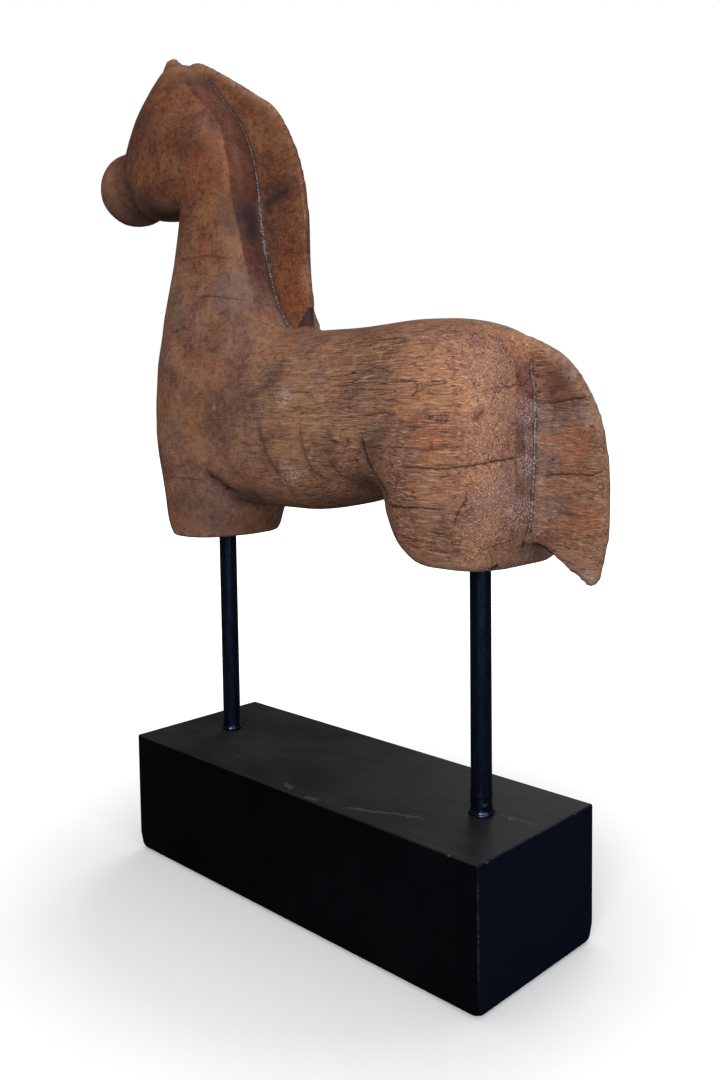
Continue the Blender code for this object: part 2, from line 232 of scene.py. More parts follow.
# Where the wood's colour changes, and where painted shade lies: x, y, z and reach in mm, then how
# strongly
PATCHES = {
    "gold_and_highlight": [
        (10, -29, 208, 30, 0.9), (36, -29, 199, 20, 0.7), (70, -28, 218, 26, 0.9),
        (64, -29, 214, 9, 1.0), (86, -27, 210, 20, 0.8), (78, -30, 186, 16, 0.6),
        (-58, -22, 291, 18, 0.9), (76, -29, 168, 18, 0.6), (120, -3, 160, 14, 0.5),
        (-14, 30, 206, 30, 0.8), (66, 29, 210, 28, 0.8), (-60, 22, 288, 18, 0.8),
    ],
    "rust": [
        (61, -28, 214, 18, 0.3), (74, -30, 198, 18, 0.5), (-21, -4, 255, 18, 0.9),
        (-26, -4, 272, 13, 0.6), (114, -3, 194, 13, 1.0), (120, -3, 169, 14, 0.7),
        (90, -10, 231, 20, 0.5), (111, -3, 215, 15, 0.85), (-60, -20, 312, 26, 0.6),
        (36, -21, 178, 14, 0.6), (-58, -24, 276, 14, 0.7), (-10, -16, 238, 26, 0.6),
        (-44, -28, 222, 18, 0.5), (40, 0, 243, 34, 1.0), (64, -12, 240, 26, 0.6),
        (56, 29, 190, 22, 0.7), (-24, 4, 262, 16, 0.9), (114, 3, 184, 14, 0.8),
    ],
    "ash": [
        (106, -4, 204, 11, 1.0), (106, -4, 188, 11, 1.0), (106, -4, 172, 10, 0.8),
        (-128, -8, 310, 26, 1.0), (-76, -25, 250, 20, 0.8), (-82, -22, 228, 18, 0.7),
        (20, -28, 223, 16, 0.6), (119, -3, 204, 6, 0.8), (-72, -28, 200, 16, 0.6),
        (-62, -24, 164, 26, 1.0), (98, -16, 178, 16, 0.9), (99, -12, 200, 12, 0.9),
        (-44, -18, 160, 18, 1.1), (-40, -22, 257, 18, 0.9), (-30, 29, 190, 22, 0.6),
        (106, 4, 200, 12, 0.8),
    ],
    "haze": [
        (1, -30, 211, 7.5, 1.0), (1.5, -28, 181, 9, 0.95), (-44, -29, 208, 3.5, 1.0),
        (-71, -29, 212, 4, 0.7), (-62, -29, 206, 4, 0.55), (105, -4, 226, 5, 0.6),
        (100, -11, 171, 10, 1.2), (101, -10, 188, 8, 1.1), (103, -6, 180, 6, 0.8),
        (109, -3, 225, 4, 0.5), (115, -3, 217, 4, 0.45), (120, -2, 149, 5, 1.0),
        (119, -3, 204, 6, 0.45), (-28, -14, 246, 7, 0.3), (63, -29, 214, 7, 0.4),
        (94, -23, 210, 8, 0.4), (-60, -25, 258, 6, 0.4), (6, 30, 200, 7, 0.7),
        (101, -9, 206, 9, 1.2), (101, -7, 196, 7, 0.9),
    ],
    # Painted shade under the jaw, on the muzzle, brow and back, by the grooves and on the tail's
    # top
    "shade": [
        (46, -28, 193, 10, 0.5), (36, -23, 179, 12, 0.55), (79, -29, 166, 9, 0.3),
        (-106, -12, 298, 19, 0.7), (94, -27, 204, 4, 0.4), (101, -6, 210, 7, 0.4),
        (-40, -11, 288, 17, 0.6), (-39, -11, 289, 10, 0.95), (-38, -11, 283, 9, 0.95),
        (-129, -8, 312, 24, 0.60), (-104, -16, 338, 22, 0.42), (30, -8, 241, 28, 0.24),
        (-66, -25, 162, 22, 0.22), (24, -29, 190, 12, 0.3), (109, -4, 216, 15, 0.55),
        (-31, -4, 300, 20, 0.35), (-102, 14, 300, 15, 0.6), (36, 23, 179, 12, 0.5),
        (-98, 0, 300, 14, 0.4),
    ],
}


def set_out(name, data):
    """A new object in the scene, made from a mesh, a lamp or a camera."""
    item = bpy.data.objects.new(name, data)
    bpy.context.scene.collection.objects.link(item)
    return item


def closed_copy(node_name, name):
    """A copy of a CAD node's mesh with its loose triangles joined up."""
    bm = bmesh.new()
    bm.from_mesh(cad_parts[node_name].data)
    bmesh.ops.remove_doubles(bm, verts=bm.verts, dist=0.00001)
    mesh = bpy.data.meshes.new(name)
    bm.to_mesh(mesh)
    bm.free()
    return set_out(name, mesh)


def bake_modifiers(item):
    """Turns what the modifiers make into the piece's own plain mesh."""
    graph = bpy.context.evaluated_depsgraph_get()
    mesh = bpy.data.meshes.new_from_object(item.evaluated_get(graph))
    item.modifiers.clear()
    old = item.data
    item.data = mesh
    bpy.data.meshes.remove(old)
    mesh.name = item.name


def read_points(mesh):
    """Every vertex's place and the normal there."""
    place = np.empty(len(mesh.vertices) * 3, np.float32)
    mesh.vertices.foreach_get("co", place)
    facing = np.empty_like(place)
    mesh.vertices.foreach_get("normal", facing)
    return place.reshape(-1, 3).astype(float), facing.reshape(-1, 3).astype(float)


def write_points(mesh, place):
    """Moves every vertex of a mesh to its new place."""
    mesh.vertices.foreach_set("co", place.astype(np.float32).ravel())
    mesh.update()


def read_edges(mesh):
    """Every edge's two vertex numbers."""
    pairs = np.empty(len(mesh.edges) * 2, np.int32)
    mesh.edges.foreach_get("vertices", pairs)
    return pairs.reshape(-1, 2)


def rub_down(values, edges, weight, passes):
    """Evens each vertex's values with its neighbours', as far as its weight lets it."""
    start, end = edges.T
    many = len(values)
    count = np.maximum(np.bincount(edges.ravel(), minlength=many), 1)
    for _ in range(passes):
        mean = np.empty_like(values)
        for axis in range(values.shape[1]):
            column = values[:, axis]
            total = np.bincount(start, column[end], many) + np.bincount(end, column[start], many)
            mean[:, axis] = total / count
        values = values + weight[:, None] * (mean - values) / 2
    return values


def smooth_run(path, count):
    """The given number of points, in metres, on a smooth curve through a path given in mm."""
    rows = np.array(path, float) / 1000
    padded = np.vstack([2 * rows[0] - rows[1], rows, 2 * rows[-1] - rows[-2]])
    place = np.linspace(0, len(rows) - 1, count)
    first = np.minimum(place.astype(int), len(rows) - 2)
    t = (place - first)[:, None]
    a, b, c, d = (padded[first + k] for k in range(4))
    cubic = (3 * b - a - 3 * c + d) * t**3
    square = (2 * a - 5 * b + 4 * c - d) * t**2
    return (2 * b + (c - a) * t + square + cubic) / 2


def reach_of(points, run, furthest=0.008):
    """Each point's distance to a run of short straight lines, and its share of the way along.

    Points further off than the furthest count as a metre away.
    """
    nearest = np.full(len(points), 1.0)
    share = np.zeros(len(points))
    low, high = run.min(axis=0) - furthest, run.max(axis=0) + furthest
    close = np.where(((points > low) & (points < high)).all(axis=1))[0]
    here = points[close]
    best = np.full(len(close), 1.0)
    best_share = np.zeros(len(close))
    for i in range(len(run) - 1):
        step = run[i + 1] - run[i]
        t = np.clip((here - run[i]) @ step / (step @ step + 1e-18), 0, 1)
        gap = np.linalg.norm(here - run[i] - t[:, None] * step, axis=1)
        nearer = gap < best
        best[nearer] = gap[nearer]
        best_share[nearer] = (i + t[nearer]) / (len(run) - 1)
    nearest[close] = best
    share[close] = best_share
    return nearest, share


def made_finer(mesh, runs, reach):
    """Splits the faces within reach of any of the runs."""
    place, facing = read_points(mesh)
    near = np.zeros(len(place), bool)
    for run, half in runs:
        near |= reach_of(place, run)[0] < reach + half
    bm = bmesh.new()
    bm.from_mesh(mesh)
    chosen = [e for e in bm.edges if near[e.verts[0].index] and near[e.verts[1].index]]
    bmesh.ops.subdivide_edges(bm, edges=chosen, cuts=1, use_grid_fill=True)
    bmesh.ops.triangulate(bm, faces=[f for f in bm.faces if len(f.verts) > 4])
    bm.to_mesh(mesh)
    bm.free()


def add_layers(mesh, layers):
    """Stores one number for each vertex under each name, for a material to read."""
    for name, values in layers.items():
        layer = mesh.attributes.new(name, "FLOAT", "POINT")
        layer.data.foreach_set("value", np.clip(values, 0, 1).astype(np.float32))


def ramp(values, low, high):
    """0 at low, 1 at high and an even slope between."""
    return np.clip((values - low) / (high - low), 0, 1)


def bulge_of(mesh):
    """How far each vertex stands out from the form around it, in mm. Hollows are below 0."""
    place, facing = read_points(mesh)
    edges = read_edges(mesh)
    everywhere = np.ones(len(place))
    out = (place - rub_down(place, edges, everywhere, 10)) * facing
    return rub_down(out.sum(axis=1)[:, None] * 1000, edges, everywhere, 2)[:, 0]


def settled(run, mesh, reach, side):
    """A run moved onto the ridge beside it, or into the hollow where the side is -1."""
    place, facing = read_points(mesh)
    curved = np.clip(side * bulge_of(mesh), 0.001, 1) ** 4
    moved = []
    for point in run:
        weight = curved * (np.linalg.norm(place - point, axis=1) < reach)
        moved.append(point if weight.sum() == 0 else weight @ place / weight.sum())
    moved = np.array(moved)
    for _ in range(4):
        moved[1:-1] = (moved[:-2] + 2 * moved[1:-1] + moved[2:]) / 4
    return moved


def between_lines(points, edge, root):
    """1 on the flat back between its outer edge and its root line, on both sides of the horse."""
    ends = []
    for run in (edge, root):
        order = np.argsort(run[:, 2])
        ends.append([np.interp(points[:, 2], run[order, 2], run[order, axis]) for axis in (0, 1)])
    (edge_x, edge_y), (root_x, root_y) = ends
    across = np.stack([root_x - edge_x, root_y - edge_y], axis=1)
    width = np.linalg.norm(across, axis=1) + 1e-9
    away = np.stack([points[:, 0] - edge_x, -np.abs(points[:, 1]) - edge_y], axis=1)
    inward = (away * across).sum(axis=1) / width
    return ramp(inward, -0.1, 0.35) * ramp(width - inward, -0.6, 0.0)


def cut_in(mesh, cuts, reaches):
    """Carves the cuts into a mesh. Returns their runs and the grime, dust and painted shade in
    them.
    """
    points = [v.co for v in mesh.vertices]
    surface = BVHTree.FromPolygons(points, [p.vertices for p in mesh.polygons])
    runs = []
    for number, (kind, path) in enumerate(cuts):
        count = RUN_POINTS * len(path)
        wander = CUT_KINDS[kind].wander / 1000
        run = smooth_run(path, count)
        run = run + np.random.default_rng(number).normal(0, wander, (count, 3))
        if kind in SETTLING:
            run = settled(run, mesh, *SETTLING[kind])
        runs.append(np.array([surface.find_nearest(Vector(point))[0] for point in run]))
    wide, narrow = [], []
    for run, (kind, path) in zip(runs, cuts):
        half = CUT_KINDS[kind].half / 1000
        if kind != "rubbed paint":
            wide.append((run, half))
        if kind == "root line" or (half < NARROW_HALF and "rubbed" not in kind):
            narrow.append((run, 0))
    for reach in reaches:
        made_finer(mesh, wide, reach / 1000)
    made_finer(mesh, narrow, NARROW_REACH)
    place, facing = read_points(mesh)
    depth_here = np.zeros(len(place))
    layers = {name: np.zeros(len(place)) for name in ("grime", "dust", "shade")}
    for run, (kind, path) in zip(runs, cuts):
        cut = CUT_KINDS[kind]
        gap, share = reach_of(place, run)
        gap *= 1000
        ends = 0.03 if kind in FULL_ENDED else 0.15
        fade = ramp(np.minimum(share, 1 - share), -0.02, ends)
        groove = np.clip(1 - gap / cut.half, 0, 1) * fade
        ridge = np.clip(1 - np.abs(gap - 1.6 * cut.half) / cut.half, 0, 1) * fade
        depth_here = np.minimum(depth_here, -cut.depth * groove) + cut.lip * ridge
        held = {
            "grime": np.clip(1.3 - gap / cut.half, 0, 1) * fade * cut.grime,
            "dust": np.clip(1.5 - gap / cut.dust_reach, 0, 1) * fade * cut.dust,
            "shade": np.clip(1 - gap / cut.shade_reach, 0, 1) * fade * cut.shade,
        }
        for name, amount in held.items():
            layers[name] = np.maximum(layers[name], amount)
    write_points(mesh, place + facing * depth_here[:, None] / 1000)
    return runs, layers


horse = closed_copy("horse", "carved_horse")
step = horse.modifiers.new("even_faces", "REMESH")
step.mode = "SHARP"
step.octree_depth = CARVING_DEPTH
step.scale = CARVING_SCALE
step.use_remove_disconnected = False
bake_modifiers(horse)

# The body is rubbed round and left a little uneven. The mane, tail, ears and soles are rubbed less.
place, facing = read_points(horse.data)
edges = read_edges(horse.data)
everywhere = np.ones(len(place))
mane_root = smooth_run(MANE_ROOT, 60)
mane_start = np.interp(-place[:, 2], -mane_root[:, 2], mane_root[:, 0])
thin = np.abs(place[:, 1]) < FIN_HALF
on_mane = thin & (place[:, 0] > mane_start + 0.001) & (place[:, 2] > MANE_FOOT) & (place[:, 0] < 0)
on_arch = (place[:, 0] > TAIL_ARCH_X) & (place[:, 2] > TAIL_ARCH_Z)
on_tail = thin & ((place[:, 0] > TAIL_START) | on_arch)
on_ear = (place[:, 2] > EAR_Z) & (place[:, 0] < EAR_X)
rubbing = np.where(on_mane | on_tail, FIN_RUBBING, np.where(on_ear, EAR_RUBBING, 1.0))
for corner in (NECK_CORNER, mirrored(NECK_CORNER), HAUNCH_CORNER, mirrored(HAUNCH_CORNER)):
    away = reach_of(place, smooth_run(corner, 40))[0]
    rubbing = np.minimum(rubbing, CORNER_RUBBING + 150 * away)
rubbing[place[:, 2] < SOLE] = SOLE_RUBBING
rubbing = rub_down(rubbing[:, None], edges, everywhere, 1)[:, 0]
rubbed = rub_down(place, edges, rubbing, RUBBING_PASSES)
lost = rub_down(rubbed - place, edges, everywhere, EVENING_PASSES)
rubbed -= lost * rubbing[:, None]
rubbed = rub_down(rubbed, edges, everywhere * 0.5, 1)
rough = rub_down(np.random.default_rng(11).normal(0, 1, (len(place), 1)), edges, everywhere, 40)
rubbed += facing * rough / rough.std() * rubbing[:, None] * UNEVENNESS / 1000
# The rubbing drew the tail's rim and tip in, so they are set back out
rubbed[:, 0] += RIM_OUT * on_tail * ramp(rubbed[:, 0], 0.106, 0.123)
tip_down = TIP_DOWN * on_tail * ramp(rubbed[:, 0], 0.104, 0.114)
rubbed[:, 2] -= tip_down * ramp(rubbed[:, 2], 0.160, 0.148)
# The right shoulder is cut back so that it keeps behind the mane's foot
past_mane = (rubbed[:, 0] + rubbed[:, 1]) / math.sqrt(2) + 0.0072
hidden = (rubbed[:, 1] > 0) & (rubbed[:, 0] < 0) & (rubbed[:, 2] < 0.258)
rubbed[:, 0] -= np.maximum(past_mane, 0) * 1.4 * hidden * ramp(rubbed[:, 2], 0.2404, 0.2418)
write_points(horse.data, rubbed)
runs, layers = cut_in(horse.data, LEFT_CUTS + RIGHT_CUTS, (1.8, 0.8))

# The head and mane keep a dark old stain, which thins out down the neck and returns on the stump
# and belly. On the head and under the belly this darkening is partly painted shade. The neck's flat
# back is darkest. Towards the tail the grain lies more open.
place, facing = read_points(horse.data)
edges = read_edges(horse.data)
place_mm = place * 1000
x, y, z = place_mm.T
layers["stain_and_shade"] = 0.9 * ramp(z, 262, 300) + 0.25 * ramp(z, 225, 262) * (1 - ramp(z, 262, 300))
on_stump = 0.45 * ramp(z, 185, 160) * ramp(x, -45, -60)
layers["stain_and_shade"] += on_stump + 0.12 * ramp(x, -20, -80) * (z < 225)
layers["stain_and_shade"] += 0.35 * ramp(z, 195, 165) * ramp(x, -50, -20) * ramp(x, 60, 40)
layers["open"] = 0.25 + 0.75 * ramp(x, -35, 25) * ramp(z, 262, 240) * (1 - 0.4 * ramp(x, 102, 106))
layers["haze"] = np.zeros(len(place))
for layer, patches in PATCHES.items():
    laid = layers.get(layer, np.zeros(len(place)))
    for px, py, pz, reach, strength in patches:
        gap = np.sqrt((x - px) ** 2 + (y - py) ** 2 + (z - pz) ** 2)
        laid = np.maximum(laid, strength * np.clip(1.25 * (1 - gap / reach), 0, 1))
    layers[layer] = laid
kinds = [kind for kind, path in LEFT_CUTS]
neck_edge, haunch_edge = (runs[i] * 1000 for i, kind in enumerate(kinds) if kind == "facet edge")
mane_line, tail_line = (runs[i] * 1000 for i, kind in enumerate(kinds) if kind == "root line")
# The flat backs of neck and haunch are darkened, partly stain and partly painted shade in the
# recess
neck_back = between_lines(place_mm, neck_edge, mane_line) * ramp(z, 244, 266)
neck_back *= ramp(z, 361, 354)
haunch_back = between_lines(place_mm, haunch_edge, tail_line) * ramp(z, 156, 166)
haunch_back *= ramp(z, 228, 222)
layers["flat back"] = np.maximum(neck_back * (x < 0), 0.85 * haunch_back * (x > 80))
# The dust in the mane's root is thickest at half its height and nearly gone above
in_neck = (x < 0) & (z > 240)
layers["dust"][in_neck] *= np.interp(z[in_neck], *MANE_DUST)
thick = ramp(reach_of(place, runs[0])[0] * 1000, 1.3, 0.3) * ramp(z, 262, 276) * ramp(z, 304, 296)
layers["dust"] = np.maximum(layers["dust"], in_neck * 0.72 * thick)
patchy = np.random.default_rng(5).uniform(0.55, 1.1, 56)
layers["dust"] *= np.interp(z, np.linspace(150, 360, 56), patchy)
# A painted highlight lies along the outer side of the neck's corner, laid in with the gold
beside = ramp(reach_of(place, neck_edge / 1000)[0] * 1000, 5.0, 1.0) * (layers["flat back"] < 0.3)
layers["gold_and_highlight"] = np.maximum(layers["gold_and_highlight"], 0.85 * beside * ramp(z, 262, 275) * ramp(z, 340, 320))
# The haunch is made lighter
on_haunch = ramp(x, 42, 84) * ramp(x, 112, 100) * (1 - 0.65 * ramp(z, 228, 242))
layers["bright"] = on_haunch * (1 - 0.55 * ramp(z, 178, 160))
mane_front = np.interp(-z, -mane_line[:, 2], mane_line[:, 0]) + 0.5
on_mane = (np.abs(y) < FIN_HALF * 1000) & (x > mane_front) & (z > 240.5) & (x < -5)
layers["stain_and_shade"][on_mane] = 1.0
layers["speckle"] = on_mane * ramp(z, 302, 286)
# The chip is the mane's lower rear corner, broken off along a slanting line. Its hollow is painted
# dark as painted shade.
chip = ramp(x + 9.4 + 0.85 * (254.5 - z), 0, 0.6) * ramp(x, -19.6, -19.0)
chip *= ramp(z, 240.6, 241.2)
chip *= on_mane
layers["chip"] = chip
write_points(horse.data, place - facing * chip[:, None] * CHIP_DEPTH / 1000)
layers["wear"] = ramp(bulge_of(horse.data), 0.10, 0.5)
add_layers(horse.data, layers)
horse.data.shade_smooth()


def add_node(tree, kind, inputs=None, **settings):
    """One node, with its settings and its inputs. An input is a value or another node's socket."""
    made = tree.nodes.new(kind)
    for key, value in settings.items():
        setattr(made, key, value)
    for key, value in (inputs or {}).items():
        if isinstance(value, bpy.types.NodeSocket):
            tree.links.new(value, made.inputs[key])
        else:
            made.inputs[key].default_value = value
    return made


def new_material(name):
    """A material, its node tree and its Principled shader."""
    material = bpy.data.materials.new(name)
    material.use_nodes = True
    return material, material.node_tree, material.node_tree.nodes["Principled BSDF"]


def over(tree, amount, under, colour, how="MIX"):
    """One colour laid over another by an amount."""
    inputs = {0: amount, 6: under, 7: colour}
    return add_node(tree, "ShaderNodeMix", inputs, data_type="RGBA", blend_type=how).outputs[2]


def between(tree, value, low, high, low_out=0.0, high_out=1.0):
    """A value stretched from one range to another and held within it."""
    inputs = {0: value, 1: low, 2: high, 3: low_out, 4: high_out}
    return add_node(tree, "ShaderNodeMapRange", inputs).outputs[0]


def maths(tree, how, a, b):
    """A sum, product or other simple reckoning of two values."""
    return add_node(tree, "ShaderNodeMath", {0: a, 1: b}, operation=how).outputs[0]


def times(tree, a, b):
    """One value multiplied by another."""
    return maths(tree, "MULTIPLY", a, b)


def noise(tree, where, scale, detail=4.0, roughness=0.55):
    """A noise value about 0.5, at a scale in features to the metre."""
    inputs = {"Vector": where, "Scale": scale, "Detail": detail, "Roughness": roughness}
    return add_node(tree, "ShaderNodeTexNoise", inputs).outputs[0]


def stretched(tree, where, scale, shift=(0, 0, 0)):
    """Coordinates scaled by axis and shifted."""
    inputs = {"Vector": where, "Location": shift, "Scale": scale}
    return add_node(tree, "ShaderNodeMapping", inputs).outputs[0]


def stored(tree, name):
    """What a mesh stores under a name."""
    return add_node(tree, "ShaderNodeAttribute", attribute_name=name).outputs["Fac"]


def ragged(tree, name, field, low, high, most, force=1.0):
    """What a mesh stores under a name, with its edge broken up by a noise field."""
    value = stored(tree, name)
    swing = times(tree, maths(tree, "SUBTRACT", field, 0.5), force)
    kept = between(tree, value, 0, 0.05)
    amount = between(tree, maths(tree, "ADD", value, swing), low, high, 0, most)
    return times(tree, kept, amount)


def by_grain(tree, amount, closed, opened, start=0.2, end=1.0):
    """An amount that changes from one strength to another as the grain opens."""
    return times(tree, amount, between(tree, stored(tree, "open"), start, end, closed, opened))


# The wood's colours, from its bare grain out to the stain, wear and dust on it, and the painted
# shade and painted highlight over them
DARK_GRAIN, PALE_GRAIN = (0.118, 0.048, 0.028, 1), (0.262, 0.110, 0.062, 1)
PURPLE_CLOUD, RED_CLOUD = (0.118, 0.060, 0.050, 1), (0.240, 0.092, 0.046, 1)
OLIVE, DUSKY = (0.250, 0.128, 0.074, 1), (0.095, 0.040, 0.029, 1)
TAN, GOLD_AND_HIGHLIGHT = (0.235, 0.118, 0.060, 1), (0.305, 0.152, 0.074, 1)
RUST, ASH = (0.275, 0.090, 0.038, 1), (0.150, 0.088, 0.076, 1)
DARK_MOTTLE, PALE_MOTTLE = (0.075, 0.033, 0.025, 1), (0.310, 0.160, 0.100, 1)
PALE_THREAD, DARK_FIBRE = (0.50, 0.31, 0.18, 1), (0.045, 0.019, 0.012, 1)
SPLIT, PIT = (0.022, 0.010, 0.007, 1), (0.035, 0.015, 0.010, 1)
PALE_GRIT, SPECKLE = (0.52, 0.37, 0.26, 1), (0.050, 0.018, 0.012, 1)
STAIN_SPOT, SHADE = (0.045, 0.019, 0.010, 1), (0.027, 0.014, 0.015, 1)
WORN, CHIP_SHADE = (0.33, 0.20, 0.14, 1), (0.040, 0.018, 0.016, 1)
GRIME, HAZE = (0.014, 0.008, 0.007, 1), (0.48, 0.35, 0.32, 1)
BROWN_DUST, GREY_DUST = (0.34, 0.20, 0.13, 1), (0.32, 0.275, 0.27, 1)
# What the lighter haunch, the stain with its painted shade, and the darkened flat back of neck and
# haunch multiply them by
HAUNCH_LIFT, STAIN_AND_SHADE_TINT = (1.36, 1.28, 1.27, 1), (0.79, 0.605, 0.435, 1)
DIMMED = (0.66, 0.55, 0.61, 1)

wood, tree, shader = new_material("weathered_hardwood")
space = add_node(tree, "ShaderNodeTexCoord").outputs["Object"]
bend = noise(tree, stretched(tree, space, (0.5, 1, 1)), 16, 2)
lift = add_node(tree, "ShaderNodeCombineXYZ", {2: times(tree, bend, 0.009)}).outputs[0]
swayed = add_node(tree, "ShaderNodeVectorMath", {0: space, 1: lift}, operation="ADD").outputs[0]

streaks = noise(tree, stretched(tree, swayed, (0.09, 1, 1)), 480, 5, 0.64)
fibres = noise(tree, stretched(tree, swayed, (0.055, 1, 1), (0.4, 0.1, 0.7)), 1800, 4, 0.62)
threads = noise(tree, stretched(tree, swayed, (0.07, 1, 1), (0.9, 0.3, 0.2)), 2100, 4, 0.6)
clouds = noise(tree, stretched(tree, space, (0.8, 1, 1)), 46, 5, 0.62)
marble = noise(tree, stretched(tree, space, (0.8, 1, 1), (4, 2, 6)), 78, 7, 0.72)
blotches = noise(tree, stretched(tree, space, (0.7, 1, 1), (3, 1, 2)), 120, 5, 0.65)
grit = noise(tree, space, 2300, 2, 0.6)
pits = noise(tree, stretched(tree, space, (0.5, 1, 1), (1, 2, 3)), 1700, 2, 0.6)
mottle = noise(tree, stretched(tree, space, (1, 1, 1), (7, 2, 1)), 420, 4, 0.65)
scuffs = noise(tree, stretched(tree, space, (0.7, 1, 1), (2, 7, 1)), 1300, 5, 0.75)
open_grain = stored(tree, "open")
stain_and_shade = stored(tree, "stain_and_shade")

weak = between(tree, open_grain, 0.2, 0.9, 0.34, 0.0)
strong = between(tree, open_grain, 0.2, 0.9, 0.66, 1.0)
colour = over(tree, between(tree, streaks, 0.34, 0.66, weak, strong), DARK_GRAIN, PALE_GRAIN)
colour = over(tree, between(tree, clouds, 0.48, 0.62, 0, 0.7), colour, PURPLE_CLOUD)
colour = over(tree, between(tree, clouds, 0.46, 0.38, 0, 0.5), colour, RED_CLOUD)
olive = by_grain(tree, between(tree, marble, 0.50, 0.57), 0.75, 0.4, 0.3, 0.9)
colour = over(tree, olive, colour, OLIVE)
dusky = by_grain(tree, between(tree, marble, 0.48, 0.41), 0.75, 0.4, 0.3, 0.9)
colour = over(tree, dusky, colour, DUSKY)
colour = over(tree, between(tree, blotches, 0.50, 0.64, 0, 0.4), colour, TAN)
# The gold patches also carry the painted highlight along the neck's corner
colour = over(tree, ragged(tree, "gold_and_highlight", blotches, 0.3, 0.8, 0.65, 1.5), colour, GOLD_AND_HIGHLIGHT)
colour = over(tree, ragged(tree, "rust", blotches, 0.3, 0.8, 0.70, 1.5), colour, RUST)
colour = over(tree, ragged(tree, "ash", clouds, 0.3, 0.8, 0.80, 1.5), colour, ASH)
colour = over(tree, between(tree, mottle, 0.53, 0.66, 0, 0.55), colour, DARK_MOTTLE)
colour = over(tree, between(tree, mottle, 0.47, 0.36, 0, 0.3), colour, PALE_MOTTLE)

pale_threads = by_grain(tree, between(tree, threads, 0.53, 0.68), 0.12, 0.75)
colour = over(tree, pale_threads, colour, PALE_THREAD)
dark_fibres = by_grain(tree, between(tree, fibres, 0.48, 0.34), 0.22, 0.9)
colour = over(tree, dark_fibres, colour, DARK_FIBRE)
line_field = noise(tree, stretched(tree, swayed, (0.06, 1, 1), (0.2, 0.6, 0.5)), 430, 2, 0.5)
line_gap = maths(tree, "ABSOLUTE", maths(tree, "SUBTRACT", line_field, 0.5), 0)
line_zone = noise(tree, stretched(tree, space, (0.35, 1, 1), (5, 5, 1)), 90, 3)
splits = between(tree, line_gap, 0.014, 0.004)
splits = times(tree, splits, between(tree, line_zone, 0.45, 0.52))
splits = by_grain(tree, splits, 0.2, 0.95, 0.3, 0.9)
colour = over(tree, splits, colour, SPLIT)
colour = over(tree, between(tree, pits, 0.38, 0.30, 0, 0.6), colour, PIT)
pale_grit = by_grain(tree, between(tree, grit, 0.60, 0.70), 0.25, 0.5)
colour = over(tree, pale_grit, colour, PALE_GRIT)
bright = over(tree, 1.0, colour, HAUNCH_LIFT, "MULTIPLY")
colour = over(tree, stored(tree, "bright"), colour, bright)

# The stain, partly painted shade on the head and under the belly
deep = over(tree, 1.0, colour, STAIN_AND_SHADE_TINT, "MULTIPLY")
deep = over(tree, between(tree, mottle, 0.50, 0.70, 0, 0.5), deep, STAIN_SPOT)
colour = over(tree, between(tree, stain_and_shade, 0, 1), colour, deep)
spots = between(tree, noise(tree, space, 1000, 5, 0.75), 0.49, 0.60, 0, 0.75)
speckle = times(tree, stored(tree, "speckle"), spots)
colour = over(tree, speckle, colour, SPECKLE)

# The flat backs' darkening is stain and painted shade
dimmed = over(tree, 1.0, colour, DIMMED, "MULTIPLY")
colour = over(tree, stored(tree, "flat back"), colour, dimmed)
# Painted shade from the cuts and the shade patches
colour = over(tree, ragged(tree, "shade", blotches, 0.05, 0.85, 0.9), colour, SHADE)
worn = times(tree, stored(tree, "wear"), between(tree, mottle, 0.40, 0.60, 0.0, 0.6))
colour = over(tree, worn, colour, WORN)
# The chip's hollow is painted dark as painted shade
colour = over(tree, ragged(tree, "chip", mottle, 0.35, 0.65, 0.9, 1.6), colour, CHIP_SHADE)
colour = over(tree, between(tree, stored(tree, "grime"), 0, 1, 0, 0.95), colour, GRIME)
height_up = add_node(tree, "ShaderNodeSeparateXYZ", {0: space}).outputs[2]
dust_colour = over(tree, between(tree, height_up, 0.325, 0.300), BROWN_DUST, GREY_DUST)
colour = over(tree, ragged(tree, "dust", scuffs, 0.36, 0.95, 0.8, 4.0), colour, dust_colour)
pale_specks = ragged(tree, "haze", blotches, 0.3, 0.9, 0.75, 2.0)
pale_specks = times(tree, pale_specks, between(tree, scuffs, 0.47, 0.60))
colour = over(tree, pale_specks, colour, HAZE)
tree.links.new(colour, shader.inputs["Base Color"])

tree.links.new(between(tree, streaks, 0.3, 0.7, 0.78, 0.62), shader.inputs["Roughness"])
shader.inputs["Specular IOR Level"].default_value = 0.20

height = maths(tree, "ADD", times(tree, streaks, 0.8), times(tree, fibres, 0.35))
height = maths(tree, "SUBTRACT", height, times(tree, splits, 0.5))
relief = add_node(tree, "ShaderNodeBump", {"Height": height, "Strength": 0.55, "Distance": 0.0005})
tree.links.new(relief.outputs[0], shader.inputs["Normal"])

horse.data.materials.clear()
horse.data.materials.append(wood)
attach(horse, "root")
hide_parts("horse")

# The block is a sawn piece of timber under thick matte black paint. Its top has one long and
# three short drying cracks that the paint bridges, and its upper edges have small chips. The edges
# of its rear end are rubbed pale.
BLOCK_TOP = 54.5
BLOCK_END = 100
# How far apart the cuts that divide its faces are, and where more of them lie near an edge, in mm
BLOCK_SLICE = 2.5
EDGE_SLICES = (0.15, 0.35, 0.6, 0.9, 1.5, 2.2, 3.1, 4.0)
# Corners sharper than this, in degrees, stay sharp in the shading
SHARP_CORNER = 38
